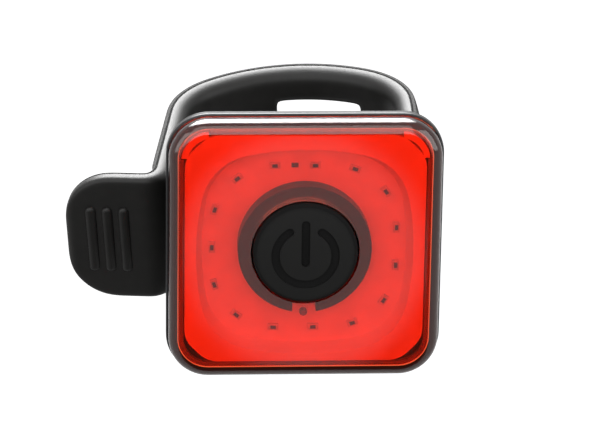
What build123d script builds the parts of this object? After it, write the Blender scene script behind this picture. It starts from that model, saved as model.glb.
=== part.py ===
"""Rear bicycle light with a square red lens, a central push button and a rubber strap.

Lengths are in millimetres. The origin is the centre of the strap loop, on the axis of the
seat post that the light is strapped to. X points to the right of somebody who looks into
the lens, Y points away from them, from the lens towards the post, and Z points up.
Depths are counted from the front face of the lens, towards the post.
"""
import os
from math import acos, atan2, cos, degrees, radians, sin, sqrt, tan

from build123d import *

# Seat post and the way the light leans on it
post_radius = 13.6
post_lean = 10.0
lens_axis_z = -1.9

# Red lens
lens_size = 40.0
lens_corner = 5.9
lens_edge_round = 2.0
lens_plate = 1.5
lens_wall = 1.5
lens_depth = 3.1
lens_inner_round = 0.3

# Housing tub
seal_thickness = 0.2
seal_inset = 0.15
rim_step = 0.35
rim_band = 1.2
rim_edge_round = 0.3
tub_slope = 25.0
tub_depth = 11.2
tub_floor = 1.2
tub_back_round = 1.5
cavity_slope = 15.0
lip_gap = 0.1
lip_wall = 0.6
lip_front = 1.85

# White reflector
reflector_gap = 0.15
reflector_front = 1.75
reflector_corner = 4.0
reflector_chamfer = 3.4
ear_drop = 3.45
ear_width = 0.45
dish_border = 1.65
dish_side_radius = 42.0
dish_corner_radius = 8.5
dish_slope = 0.9
dish_drop = 0.5

# Circuit board
board_front = 4.2
board_thickness = 1.0
board_gap = 1.2
board_corner = 3.0
board_screw_inset = 2.3
screw_shank_radius = 0.8
screw_head_radius = 1.5
screw_length = 3.6
countersink_angle = 90
screw_slot = 0.4
screw_fit = 0.03

# Lamps on the board
led_count = 15
led_inset_x = 1.5
led_inset_z = 2.4
led_path_corner = 9.5
led_path_drop = 0.3
led_length = 1.6
led_width = 0.9
led_height = 0.55
die_length = 0.8
die_width = 0.5
die_height = 0.1
indicator_rise = 0.2
indicator_radius = 0.55
indicator_height = 0.9
resistor_length = 1.0
resistor_width = 0.6
resistor_height = 0.4
front_resistor_x = -1.5
resistor_rows = 5

# Push button, its collar and its switch
button_radius = 7.7
button_proud = 1.0
button_dome = 0.4
button_edge_round = 0.7
button_wall = 1.2
button_roof = 1.5
flange_radius = 8.95
flange_thickness = 0.6
button_gap = 0.3
collar_outer_radius = 9.85
collar_ledge = 1.2
collar_gap = 0.05
collar_notch_width = 3.5
collar_chamfer = 0.1
button_travel = 0.45
flange_gap = 0.1
switch_size = 4.6
switch_height = 1.35
plunger_radius = 1.4
plunger_proud = 0.5
plunger_gap = 0.05
nub_radius = 1.7
dome_thickness = 0.12
symbol_depth = 0.4
symbol_stroke = 1.25
symbol_radius = 4.4
symbol_opening = 64.0
symbol_drop = 0.3
symbol_bar_top = 5.2
symbol_bar_bottom = -1.9

# Battery and its leads
battery_width = 24.0
battery_height = 19.0
battery_thickness = 3.6
battery_round = 1.0
pad_foam = 0.6
foam_margin = 0.75
lead_diameter = 0.9
lead_pitch = 2.6
lead_bend = 1.8
lead_run = 0.7

# Charging socket and its cover
socket_width = 7.5
socket_height = 2.6
socket_length = 5.2
socket_wall = 0.3
socket_gap = 0.3
tongue_width = 5.6
tongue_thickness = 0.7
tongue_recess = 0.6
flap_width = 10.4
flap_front = 4.9
flap_back = 9.1
flap_thickness = 1.2
flap_gap = 0.12

# Strap bracket on the back of the housing
plate_thickness = 1.0
plate_width = 25.6
plate_height = 26.0
plate_corner = 3.0
bracket_screw_x = 8.0
bracket_screw_z = 11.4
bracket_shank_radius = 0.95
bracket_head_radius = 1.7
bracket_head_height = 1.1
bracket_screw_reach = 4.0
boss_wall = 0.75
saddle_half_width = 12.6
saddle_half_height = 8.5
saddle_angle = 114.0
saddle_liner = 1.0
pad_depth = 14.8

# Rubber strap
strap_height = 20.0
strap_thickness = 3.4
strap_crown = 1.4
strap_inner_round = 1.2
strap_outer_round = 0.3
strap_side_gap = 2.1
strap_far_gap = 0.35
strap_roll = 3.85
strap_corner_radius = 12.6
strap_far_radius = 26.0
window_start = -2.0
window_end = 12.0
window_height = 12.0
window_corner = 2.0
split_x = -9.0
split_gap = 0.1

# Left arm, hook hole and pull tab
arm_flare = 8.6
arm_end = -15.3
bend_radius = 4.4
tab_yaw = 10.3
tab_tip_x = -34.9
tab_thickness = 2.0
tab_corner = 7.3
tab_edge_round = 1.0
rib_count = 3
rib_pitch = 2.5
rib_width = 1.0
rib_length = 11.0
rib_height = 0.4
rib_first_from_tip = 4.1
hook_hole_height = 8.8
hook_hole_start = -8.2
hook_hole_end = -4.0
hook_hole_corner = 1.0
hook_height = 7.0
hook_wall = 2.0
hook_reach = 2.3
hook_gap = 0.4
hook_arm_gap = 0.8
hook_post_gap = 0.4

# Anchor pin on the right
anchor_x = 17.4
anchor_u = -11.8
pin_radius = 1.1
pin_fit = 0.02
pin_head_radius = 1.8
pin_head_height = 0.6
eye_radius = 3.0
eye_bore_radius = 1.65
eye_half_height = 5.2
ear_gap = 0.6
ear_thickness = 2.0
ear_radius = 2.5
ear_seat = 0.4
arm_start = -8.4

# Heights and depths that follow from the sizes above
lean = radians(post_lean)
lens_half = lens_size / 2
rim_half = lens_half + rim_step
rim_corner = lens_corner + rim_step
rim_front = lens_depth + seal_thickness
rim_back = rim_front + rim_band
lens_inner_half = lens_half - lens_wall
lens_inner_corner = lens_corner - lens_wall
lip_half = lens_inner_half - lip_gap
lip_corner = lens_inner_corner - lip_gap
cavity_half = lip_half - lip_wall
cavity_corner = lip_corner - lip_wall
cavity_floor = tub_depth - tub_floor
reflector_half = cavity_half - reflector_gap
ear_reach = reflector_half - ear_drop
dish_half = reflector_half - dish_border
dish_floor_half = dish_half - dish_slope
led_path_half_x = dish_floor_half - led_inset_x
led_path_half_z = dish_floor_half - led_inset_z
board_half = cavity_half - board_gap
board_screw_pitch = 2 * (board_half - board_screw_inset)
board_back = board_front + board_thickness
face_y = -post_radius * cos(lean) - pad_depth
button_hole_radius = button_radius + button_gap
collar_front = lens_plate + collar_gap
pocket_front = collar_front + collar_ledge
pocket_radius = flange_radius + flange_gap
led_row_inner = led_path_half_z + led_path_drop - led_width / 2
indicator_drop = (pocket_radius + led_row_inner) / 2 - indicator_rise
flange_front = pocket_front + flange_gap
switch_front = board_front - switch_height
plunger_front = switch_front - plunger_proud
battery_back = cavity_floor - pad_foam
battery_front = battery_back - battery_thickness
plate_back = tub_depth + plate_thickness
liner_radius = post_radius + saddle_liner
post_axis = Vector(0, -sin(lean), cos(lean))


def facing(depth):
    """Plane across the light, looking out of the lens, at a depth behind the lens face."""
    return Plane(origin=(0, face_y + depth, lens_axis_z), x_dir=(1, 0, 0), z_dir=(0, -1, 0))


def across_post(rise, roll=0.0):
    """Plane square to the seat post, with its Y away from the light, rolled about that Y."""
    turn = radians(roll)
    side = Vector(cos(turn), 0, 0) + post_axis * sin(turn)
    up = Vector(-sin(turn), 0, 0) + post_axis * cos(turn)
    return Plane(origin=up * rise, x_dir=side, z_dir=up)


def tub_half_at(depth):
    """Half the outer width of the housing at a depth behind its rim."""
    return rim_half - (depth - rim_back) * tan(radians(tub_slope))


def save(builder, label):
    """Name a finished piece and write it to its own file."""
    builder.part.label = label
    export_step(builder.part, f"parts/{label}.step")


def write_lens_cover():
    """Clear red cover with a rounded rim and a round hole for the button."""
    with BuildPart() as lens:
        with BuildSketch(facing(lens_depth)):
            RectangleRounded(lens_size, lens_size, lens_corner)
        extrude(amount=lens_depth)
        front_face = lens.faces().sort_by(Axis.Y)[0]
        fillet(front_face.edges(), lens_edge_round)
        with BuildSketch(facing(lens_depth)):
            RectangleRounded(2 * lens_inner_half, 2 * lens_inner_half, lens_inner_corner)
        extrude(amount=lens_depth - lens_plate, mode=Mode.SUBTRACT)
        pocket_floor = lens.faces().filter_by(Plane.XZ).sort_by(Axis.Y)[1]
        fillet(pocket_floor.edges(), lens_inner_round)
        with BuildSketch(facing(lens_depth)):
            Circle(button_hole_radius)
        extrude(amount=lens_depth, mode=Mode.SUBTRACT)
    save(lens, "lens_cover")


def write_lens_seal():
    """Thin silicone frame between the end of the lens wall and the housing shoulder."""
    outer = 2 * (lens_half - seal_inset)
    inner = 2 * lens_inner_half
    with BuildPart() as seal:
        with BuildSketch(facing(rim_front)):
            RectangleRounded(outer, outer, lens_corner - seal_inset)
            RectangleRounded(inner, inner, lens_inner_corner, mode=Mode.SUBTRACT)
        extrude(amount=seal_thickness)
    save(seal, "lens_seal")


def board_screw_spots():
    """Places of the four screws that hold the circuit board."""
    return GridLocations(board_screw_pitch, board_screw_pitch, 2, 2)


def bracket_screw_spots():
    """Places of the four screws that hold the strap bracket."""
    return GridLocations(2 * bracket_screw_x, 2 * bracket_screw_z, 2, 2)


def ear_outline(margin):
    """Two strips along the top corners, where the reflector reaches into the lip."""
    reach = reflector_half + ear_width + margin
    inside = reflector_half - 2 * reflector_gap
    box = reach - ear_reach + margin
    with Locations((reach - box / 2, reach - box / 2), (box / 2 - reach, reach - box / 2)):
        Rectangle(box, box)
    RectangleRounded(2 * reach, 2 * reach, reflector_corner + ear_width, mode=Mode.INTERSECT)
    RectangleRounded(2 * inside, 2 * inside, reflector_corner, mode=Mode.SUBTRACT)


def write_housing():
    """Black tub with a proud rim, a lip for the lens and bosses for the screws."""
    with BuildPart() as tub:
        with BuildSketch(facing(rim_back)) as rim_outline:
            RectangleRounded(2 * rim_half, 2 * rim_half, rim_corner)
        extrude(amount=rim_band)
        extrude(rim_outline.sketch, amount=rim_back - tub_depth, taper=tub_slope)
        back_face = tub.faces().sort_by(Axis.Y)[-1]
        fillet(back_face.edges(), tub_back_round)
        rim_face = tub.faces().sort_by(Axis.Y)[0]
        fillet(rim_face.edges(), rim_edge_round)
        with BuildSketch(facing(rim_front)):
            RectangleRounded(2 * lip_half, 2 * lip_half, lip_corner)
        extrude(amount=rim_front - lip_front)
        with BuildSketch(facing(rim_back)) as cavity_outline:
            RectangleRounded(2 * cavity_half, 2 * cavity_half, cavity_corner)
        extrude(amount=rim_back - lip_front, mode=Mode.SUBTRACT)
        extrude(cavity_outline.sketch, amount=rim_back - cavity_floor, taper=cavity_slope,
                mode=Mode.SUBTRACT)
        with BuildSketch(facing(rim_front)):
            ear_outline(reflector_gap)
        extrude(amount=rim_front - lip_front, mode=Mode.SUBTRACT)
        with BuildSketch(facing(tub_depth - tub_floor / 2)):
            with board_screw_spots():
                Circle(screw_shank_radius + screw_fit + boss_wall)
        extrude(amount=tub_depth - tub_floor / 2 - board_back)
        with BuildSketch(facing(board_back + screw_length)):
            with board_screw_spots():
                Circle(screw_shank_radius + screw_fit)
        extrude(amount=screw_length, mode=Mode.SUBTRACT)
        with BuildSketch(facing(tub_depth - tub_floor / 2)):
            with bracket_screw_spots():
                Circle(bracket_shank_radius + screw_fit + boss_wall)
        extrude(amount=bracket_screw_reach - tub_floor / 2)
        with BuildSketch(facing(tub_depth)):
            with bracket_screw_spots():
                Circle(bracket_shank_radius + screw_fit)
        extrude(amount=bracket_screw_reach - plate_thickness, mode=Mode.SUBTRACT)
        add(flap_block(0.0), mode=Mode.SUBTRACT)
        with BuildSketch(socket_plane()):
            Rectangle(socket_width + 2 * socket_gap, socket_height + 2 * socket_gap)
        extrude(amount=-lens_half / 2, mode=Mode.SUBTRACT)
    save(tub, "housing")


def squircle(half, corner, side):
    """Rounded square whose four sides bow outwards, as one closed outline."""
    away = side - half
    reach = side - corner
    centre = (sqrt(2 * reach**2 - away**2) - away) / 2
    swing = atan2(centre, centre + away)
    near = side * sin(swing)
    far = side * cos(swing) - away
    tip = centre + corner * sqrt(0.5)
    with BuildSketch() as outline:
        with BuildLine():
            for turn in range(4):
                quarter = Rotation(0, 0, 90 * turn)
                add(quarter * ThreePointArc((-near, far), (0, half), (near, far), mode=Mode.PRIVATE))
                add(quarter * ThreePointArc((near, far), (tip, tip), (far, near), mode=Mode.PRIVATE))
        make_face()
    return outline.sketch


def write_reflector():
    """White frame around the lamps, with a bowed opening that slopes in to the board."""
    with BuildPart() as reflector:
        with BuildSketch(facing(board_front)) as frame_outline:
            Rectangle(2 * reflector_half, 2 * reflector_half)
            chamfer(frame_outline.vertices().group_by(Axis.Z)[0], reflector_chamfer)
            fillet(frame_outline.vertices().group_by(Axis.Z)[-1], reflector_corner)
        extrude(amount=board_front - reflector_front)
        with BuildSketch(facing(rim_front - reflector_gap)):
            ear_outline(0.0)
        extrude(amount=rim_front - reflector_gap - reflector_front)
        with BuildSketch(facing(board_front)):
            with Locations((0, -dish_drop)):
                add(squircle(dish_floor_half, dish_corner_radius, dish_side_radius))
        with BuildSketch(facing(reflector_front)):
            with Locations((0, -dish_drop)):
                add(squircle(dish_half, dish_corner_radius, dish_side_radius))
        loft(mode=Mode.SUBTRACT)
    save(reflector, "reflector")


def write_board():
    """Circuit board with four countersunk screw holes."""
    with BuildPart() as board:
        with BuildSketch(facing(board_back)):
            RectangleRounded(2 * board_half, 2 * board_half, board_corner)
        extrude(amount=board_thickness)
        with Locations(facing(board_front)):
            with board_screw_spots():
                CounterSinkHole(screw_shank_radius + screw_fit, screw_head_radius + screw_fit,
                                board_thickness, counter_sink_angle=countersink_angle)
    save(board, "led_board")


def write_board_screws():
    """Four small countersunk screws, flush with the front of the board."""
    head_height = screw_head_radius - screw_shank_radius
    reach = board_thickness + screw_length - head_height
    with BuildPart() as screws:
        with Locations(facing(board_front)):
            with board_screw_spots():
                with Locations((0, 0, -head_height / 2)):
                    Cone(screw_shank_radius, screw_head_radius, head_height)
                with Locations((0, 0, -head_height - reach / 2)):
                    Cylinder(screw_shank_radius, reach)
                Box(2 * screw_shank_radius, screw_slot, screw_slot, mode=Mode.SUBTRACT)
    save(screws, "board_screws")


def led_places():
    """Evenly spaced spots and headings around the rounded square on which the lamps sit."""
    with BuildLine() as half_ring:
        FilletPolyline((-led_path_half_x, 0), (-led_path_half_x, led_path_half_z),
                       (led_path_half_x, led_path_half_z), (led_path_half_x, 0),
                       radius=led_path_corner)
    path = half_ring.wires()[0]
    step = 2 * path.length / led_count
    places = []
    for index in range(-(led_count // 2), led_count // 2 + 1):
        side = -1 if index < 0 else 1
        spot = path.position_at(abs(index) * step, position_mode=PositionMode.LENGTH)
        heading = path.tangent_at(abs(index) * step, position_mode=PositionMode.LENGTH)
        angle = side * degrees(atan2(heading.Y, heading.X))
        places.append(Location((spot.X, side * spot.Y - led_path_drop, 0), (0, 0, angle)))
    return places


def write_leds():
    """Fifteen small surface-mounted lamps and the dark die in the face of each."""
    places = led_places()
    with BuildPart() as packages:
        with Locations(facing(board_front)):
            with Locations(*places):
                Box(led_length, led_width, led_height,
                    align=(Align.CENTER, Align.CENTER, Align.MIN))
    save(packages, "led_packages")
    with BuildPart() as dies:
        with Locations(facing(board_front - led_height)):
            with Locations(*places):
                Box(die_length, die_width, die_height,
                    align=(Align.CENTER, Align.CENTER, Align.MIN))
    save(dies, "led_dies")


def write_indicator():
    """Round charge indicator lamp below the button."""
    with BuildPart() as indicator:
        with BuildSketch(facing(board_front)):
            with Locations((0, -indicator_drop)):
                Circle(indicator_radius)
        extrude(amount=indicator_height)
        tip = indicator.faces().sort_by(Axis.Y)[0]
        fillet(tip.edges(), indicator_radius / 2)
    save(indicator, "indicator_led")


def write_resistors():
    """One chip resistor on the front of the board, a row of them and a chip on its back."""
    beside_battery = (battery_width / 2 + board_half) / 2
    with BuildPart() as front_resistor:
        with BuildSketch(facing(board_front)):
            with Locations((front_resistor_x, led_path_half_z - led_path_drop)):
                Rectangle(resistor_length, resistor_width)
        extrude(amount=resistor_height)
    save(front_resistor, "front_resistor")
    with BuildPart() as back_row:
        with BuildSketch(facing(board_back)):
            with Locations((beside_battery, 0)):
                with GridLocations(0, 2 * resistor_length, 1, resistor_rows):
                    Rectangle(resistor_length, resistor_width)
        extrude(amount=-resistor_height)
    save(back_row, "board_resistors")
    with BuildPart() as controller:
        with BuildSketch(facing(board_back)):
            with Locations((-beside_battery, 0)):
                Rectangle(3 * resistor_width, 3 * resistor_length)
        extrude(amount=-2 * resistor_height)
        chamfer(controller.edges().group_by(Axis.Y)[-1], resistor_height / 4)
    save(controller, "controller_chip")


def write_collar():
    """Black ring around the button, with a ledge over its flange and a notch at the bottom."""
    with BuildPart() as collar:
        with BuildSketch(facing(board_front)):
            Circle(collar_outer_radius)
        extrude(amount=board_front - collar_front)
        with BuildSketch(facing(board_front)):
            Circle(button_hole_radius)
        extrude(amount=board_front - collar_front, mode=Mode.SUBTRACT)
        with BuildSketch(facing(board_front)):
            Circle(pocket_radius)
        extrude(amount=board_front - pocket_front, mode=Mode.SUBTRACT)
        front_edges = collar.faces().sort_by(Axis.Y)[0].edges()
        chamfer(front_edges, collar_chamfer)
        with BuildSketch(facing(board_front)):
            with Locations((0, -button_radius)):
                Rectangle(collar_notch_width, collar_outer_radius,
                          align=(Align.CENTER, Align.MAX))
        extrude(amount=board_front, mode=Mode.SUBTRACT)
    save(collar, "button_collar")


def power_symbol():
    """Generic power symbol: an open ring with a short bar through its gap."""
    start = 90 + symbol_opening / 2
    sweep_angle = 360 - symbol_opening
    bar_middle = (symbol_bar_top + symbol_bar_bottom) / 2
    with BuildSketch() as symbol:
        with BuildLine():
            ring = CenterArc((0, -symbol_drop), symbol_radius, start, sweep_angle)
        SlotArc(ring, symbol_stroke)
        with Locations((0, bar_middle)):
            SlotOverall(symbol_bar_top - symbol_bar_bottom, symbol_stroke, rotation=90)
    return symbol.sketch


def write_button():
    """Domed rubber cap with a flange, an inner nub and an engraved power symbol."""
    crest = -button_proud
    shoulder = crest + button_dome
    roof = crest + button_roof
    skirt_end = flange_front + flange_thickness
    bore = button_radius - button_wall
    with BuildPart() as cap:
        with BuildSketch(Plane(origin=(0, face_y, lens_axis_z), x_dir=(1, 0, 0),
                               z_dir=(0, 0, 1))) as half_section:
            with BuildLine():
                ThreePointArc((0, crest), (button_radius / 2, crest + button_dome / 4),
                              (button_radius, shoulder))
                Polyline((button_radius, shoulder), (button_radius, flange_front),
                         (flange_radius, flange_front), (flange_radius, skirt_end),
                         (bore, skirt_end), (bore, roof), (nub_radius, roof),
                         (nub_radius, plunger_front), (0, plunger_front), (0, crest))
            make_face()
            rim_point = half_section.vertices().group_by(Axis.Y)[1].sort_by(Axis.X)[-1]
            fillet(rim_point, button_edge_round)
        revolve(axis=Axis((0, face_y, lens_axis_z), (0, 1, 0)))
        with BuildSketch(facing(crest + symbol_depth)):
            add(power_symbol())
        extrude(amount=symbol_depth, mode=Mode.SUBTRACT)
    save(cap, "button_cap")


def write_switch():
    """Tactile switch: square body with a bore, its plunger and the snap dome below it."""
    bore_depth = plunger_proud + button_travel + plunger_gap + dome_thickness
    with BuildPart() as body:
        with BuildSketch(facing(board_front)):
            RectangleRounded(switch_size, switch_size, plunger_proud)
        extrude(amount=switch_height)
        with BuildSketch(facing(switch_front)):
            Circle(plunger_radius + plunger_gap)
        extrude(amount=-bore_depth, mode=Mode.SUBTRACT)
    save(body, "switch_body")
    with BuildPart() as plunger:
        with BuildSketch(facing(switch_front + plunger_proud)):
            Circle(plunger_radius)
        extrude(amount=2 * plunger_proud)
    save(plunger, "switch_plunger")
    with BuildPart() as dome:
        with BuildSketch(facing(switch_front + bore_depth)):
            Circle(plunger_radius)
        extrude(amount=dome_thickness)
    save(dome, "switch_dome")


def write_battery():
    """Pouch battery, the foam that beds it and its two leads to the board."""
    with BuildPart() as pouch:
        with BuildSketch(facing(battery_back)):
            RectangleRounded(battery_width, battery_height, battery_round)
        extrude(amount=battery_thickness)
        fillet(pouch.faces().sort_by(Axis.Y)[0].edges(), battery_round / 2)
    save(pouch, "battery")
    with BuildPart() as foam:
        with BuildSketch(facing(cavity_floor)):
            Rectangle(battery_width - 2 * foam_margin, battery_height - 2 * foam_margin)
        extrude(amount=pad_foam)
    save(foam, "battery_foam")
    for label, side in (("battery_lead_red", 1), ("battery_lead_black", -1)):
        with BuildPart() as lead:
            x = side * lead_pitch / 2
            y = face_y + (battery_front + battery_back) / 2
            start_z = lens_axis_z + battery_height / 2
            top_z = start_z + lead_run + lead_bend
            with BuildLine() as route:
                FilletPolyline((x, y, start_z), (x, y, top_z), (x, face_y + board_back, top_z),
                               radius=lead_bend - lead_diameter / 2)
            with BuildSketch(Plane(origin=(x, y, start_z))):
                Circle(lead_diameter / 2)
            sweep(path=route.wires()[0])
        save(lead, label)


def socket_plane():
    """Plane across the mouth of the charging socket, looking down out of the light."""
    middle = board_back + socket_height / 2
    inner_edge = tub_half_at(board_back + socket_height) - flap_thickness
    mouth_z = lens_axis_z - inner_edge + socket_gap
    return Plane(origin=(0, face_y + middle, mouth_z), x_dir=(1, 0, 0), z_dir=(0, 0, -1))


def write_socket():
    """Metal shell of the charging socket on the back of the board, and its tongue."""
    inner_width = socket_width - 2 * socket_wall
    inner_height = socket_height - 2 * socket_wall
    with BuildPart() as shell:
        with BuildSketch(socket_plane()):
            RectangleRounded(socket_width, socket_height, 2 * socket_wall)
        extrude(amount=-socket_length)
        with BuildSketch(socket_plane()):
            RectangleRounded(inner_width, inner_height, socket_wall)
        extrude(amount=socket_wall - socket_length, mode=Mode.SUBTRACT)
    save(shell, "socket_shell")
    with BuildPart() as tongue:
        with BuildSketch(socket_plane().offset(-tongue_recess)):
            Rectangle(tongue_width, tongue_thickness)
        extrude(amount=tongue_recess + socket_wall - socket_length)
    save(tongue, "socket_tongue")


def flap_block(gap):
    """Part of the sloping bottom wall that the cover fills, drawn in by a gap."""
    front = flap_front + gap
    back = flap_back - gap
    inside = flap_thickness - gap
    with BuildPart() as block:
        with BuildSketch(Plane(origin=(-flap_width / 2 + gap, face_y, lens_axis_z),
                               x_dir=(0, 1, 0), z_dir=(1, 0, 0))):
            with BuildLine():
                Polyline((front, -tub_half_at(front)), (back, -tub_half_at(back)),
                         (back, inside - tub_half_at(back)),
                         (front, inside - tub_half_at(front)), close=True)
            make_face()
        extrude(amount=flap_width - 2 * gap)
    return block.part


def write_flap():
    """Rubber cover that closes the charging socket, flush with the slope of the housing."""
    with BuildPart() as flap:
        add(flap_block(flap_gap))
    save(flap, "socket_cover")


def write_bracket():
    """Black plate with the saddle, the hook on the left and two ears on the right."""
    saddle_half = radians(saddle_angle / 2)
    saddle_back = -post_radius * cos(saddle_half)
    front = -post_radius - pad_depth + tub_depth - saddle_half_height
    arm_inner = left_arm_centre(hook_catch_front()) + strap_thickness / 2
    hook_tip = arm_inner - hook_reach
    hook_root = arm_inner + hook_arm_gap
    ear_length = abs(front - anchor_u)
    ear_inner = plate_width / 2 - ear_seat
    with BuildPart() as bracket:
        with BuildSketch(facing(plate_back)):
            RectangleRounded(plate_width, plate_height, plate_corner)
        extrude(amount=plate_thickness)
        with BuildSketch(across_post(-saddle_half_height)):
            with Locations((0, (front + saddle_back) / 2)):
                Rectangle(2 * saddle_half_width, saddle_back - front)
        extrude(amount=2 * saddle_half_height)
        with BuildSketch(across_post(-strap_height)):
            Circle(liner_radius)
        extrude(amount=2 * strap_height, mode=Mode.SUBTRACT)
        hook_middle = strap_point(hook_tip, hook_catch_front()).dot(post_axis)
        with BuildSketch(across_post(hook_middle - hook_height / 2)):
            with BuildLine():
                Polyline((-saddle_half_width, front), (-saddle_half_width, hook_catch_back()),
                         (hook_tip, hook_catch_back()), (hook_tip, hook_catch_front()),
                         (hook_root, hook_catch_front()), (hook_root, front), close=True)
            make_face()
            Circle(post_radius + hook_post_gap, mode=Mode.SUBTRACT)
        extrude(amount=hook_height)
        pin_middle = strap_point(anchor_x, anchor_u).dot(post_axis)
        ear_start = eye_half_height + ear_gap
        for bottom in (pin_middle + ear_start, pin_middle - ear_start - ear_thickness):
            with BuildSketch(across_post(bottom)):
                with Locations((anchor_x, anchor_u)):
                    Circle(ear_radius)
                    Rectangle(2 * ear_radius, ear_length, align=(Align.CENTER, Align.MAX))
                with Locations(((ear_inner + anchor_x) / 2, anchor_u - ear_radius)):
                    Rectangle(anchor_x - ear_inner, ear_length, align=(Align.CENTER, Align.MAX))
            extrude(amount=ear_thickness)
        with BuildSketch(across_post(pin_middle - strap_height)):
            with Locations((anchor_x, anchor_u)):
                Circle(pin_radius + pin_fit)
        extrude(amount=2 * strap_height, mode=Mode.SUBTRACT)
        with BuildSketch(facing(plate_back)):
            with bracket_screw_spots():
                Circle(bracket_shank_radius + 2 * screw_fit)
        extrude(amount=plate_thickness, mode=Mode.SUBTRACT)
        with BuildSketch(facing(tub_depth)):
            Rectangle(2 * lens_size, 2 * lens_size)
        extrude(amount=lens_size, mode=Mode.SUBTRACT)
    save(bracket, "strap_bracket")


def write_bracket_screws():
    """Four pan-head screws through the bracket plate into the housing."""
    with BuildPart() as screws:
        with BuildSketch(facing(plate_back)):
            with bracket_screw_spots():
                Circle(bracket_shank_radius)
        extrude(amount=bracket_screw_reach - screw_fit)
        with BuildSketch(facing(plate_back)):
            with bracket_screw_spots():
                Circle(bracket_head_radius)
        extrude(amount=-bracket_head_height)
        head_rims = screws.faces().sort_by(Axis.Y)[-4:].edges()
        fillet(head_rims, bracket_head_height / 3)
        with BuildSketch(facing(plate_back + bracket_head_height)):
            with bracket_screw_spots():
                Rectangle(2 * bracket_shank_radius, screw_slot)
                Rectangle(screw_slot, 2 * bracket_shank_radius)
        extrude(amount=screw_slot, mode=Mode.SUBTRACT)
    save(screws, "bracket_screws")


def write_saddle_pad():
    """Rubber liner of the saddle, which the seat post rests against."""
    reach = saddle_angle / 2
    with BuildPart() as pad:
        with BuildSketch(across_post(-saddle_half_height)):
            with BuildLine():
                outer = CenterArc((0, 0), liner_radius, 270 - reach, 2 * reach)
                inner = CenterArc((0, 0), post_radius, 270 - reach, 2 * reach)
                Line(outer @ 0, inner @ 0)
                Line(outer @ 1, inner @ 1)
            make_face()
        extrude(amount=2 * saddle_half_height)
    save(pad, "saddle_pad")


def write_anchor_pin():
    """Steel pin through the ears, on which the right end of the strap turns."""
    middle = strap_point(anchor_x, anchor_u).dot(post_axis)
    half = eye_half_height + ear_gap + ear_thickness
    with BuildPart() as pin:
        with BuildSketch(across_post(middle - half)):
            with Locations((anchor_x, anchor_u)):
                Circle(pin_radius)
        extrude(amount=2 * half)
        with BuildSketch(across_post(middle + half)):
            with Locations((anchor_x, anchor_u)):
                Circle(pin_head_radius)
        extrude(amount=pin_head_height)
    save(pin, "anchor_pin")


# Plan of the strap, seen along the post: U is away from the light
strap_inner_half = post_radius + strap_side_gap
strap_inner_far = post_radius + strap_far_gap
strap_centre_half = strap_inner_half + strap_thickness / 2
strap_outer_half = strap_inner_half + strap_thickness
strap_outer_far = strap_inner_far + strap_thickness
far_centre_u = strap_outer_far - strap_far_radius
corner_centre_x = strap_outer_half - strap_corner_radius
corner_rise = sqrt((strap_far_radius - strap_corner_radius) ** 2 - corner_centre_x**2)
corner_centre_u = far_centre_u + corner_rise
corner_angle = degrees(atan2(corner_rise, corner_centre_x))
far_path_radius = strap_far_radius - strap_thickness / 2
corner_path_radius = strap_corner_radius - strap_thickness / 2
split_angle = degrees(acos(split_x / far_path_radius))
gap_angle = degrees(split_gap / far_path_radius)
flare = radians(arm_flare)
flare_x = -corner_centre_x - corner_path_radius * cos(flare)
flare_u = corner_centre_u + corner_path_radius * sin(flare)


def left_arm_centre(u):
    """X of the middle of the left arm at a place along it."""
    return flare_x - (flare_u - u) * tan(flare)


def hook_catch_back():
    """Back of the hook's catch, just inside the far end of the hole in the strap."""
    return hook_hole_end - hook_gap


def hook_catch_front():
    """Front of the hook's catch, which holds the strap against the pull of the post."""
    return hook_catch_back() - hook_wall


def strap_point(x, u, rise=0.0):
    """Point in space for a place on the rolled plan of the strap."""
    return across_post(rise, strap_roll).from_local_coords(Vector(x, u, 0))


def strap_section(path_start, outward, along):
    """Cross-section of the band: flat inside, crowned outside, rounded along its edges."""
    half = strap_thickness / 2
    top = strap_height / 2
    with BuildSketch(Plane(origin=path_start, x_dir=outward, z_dir=along)) as section:
        with BuildLine():
            Polyline((half, top), (-half, top), (-half, -top), (half, -top))
            ThreePointArc((half, -top), (half + strap_crown, 0), (half, top))
        make_face()
        inner_corners = section.vertices().group_by(Axis.X)[0]
        outer_corners = section.vertices().group_by(Axis.X)[-1]
        fillet(inner_corners, strap_inner_round)
        fillet(outer_corners, strap_outer_round)
    return section.sketch


def write_strap_band():
    """Right arm and far side of the strap, with the stretch window and the anchor eye."""
    plan = across_post(0, strap_roll)
    with BuildPart() as band:
        with BuildLine(plan) as route:
            Line((strap_centre_half, arm_start), (strap_centre_half, corner_centre_u))
            CenterArc((corner_centre_x, corner_centre_u), corner_path_radius, 0, corner_angle)
            CenterArc((0, far_centre_u), far_path_radius, corner_angle, split_angle - corner_angle)
        start = strap_point(strap_centre_half, arm_start)
        sweep(strap_section(start, plan.x_dir, plan.y_dir), path=route.wires()[0])
        window_plane = Plane(origin=strap_point(0, 0), x_dir=plan.x_dir, z_dir=plan.y_dir)
        with BuildSketch(window_plane):
            with Locations(((window_start + window_end) / 2, 0)):
                RectangleRounded(window_end - window_start, window_height, window_corner)
        extrude(amount=2 * strap_far_radius, mode=Mode.SUBTRACT)
        with BuildSketch(across_post(-eye_half_height, strap_roll)):
            with Locations((anchor_x, anchor_u)):
                Circle(eye_radius)
            with Locations((strap_centre_half, (anchor_u + arm_start) / 2)):
                Rectangle(strap_thickness, arm_start - anchor_u + 2 * strap_inner_round)
        extrude(amount=2 * eye_half_height)
        with BuildSketch(across_post(-strap_height, strap_roll)):
            with Locations((anchor_x, anchor_u)):
                Circle(eye_bore_radius)
        extrude(amount=2 * strap_height, mode=Mode.SUBTRACT)
    save(band, "strap_band")


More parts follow.
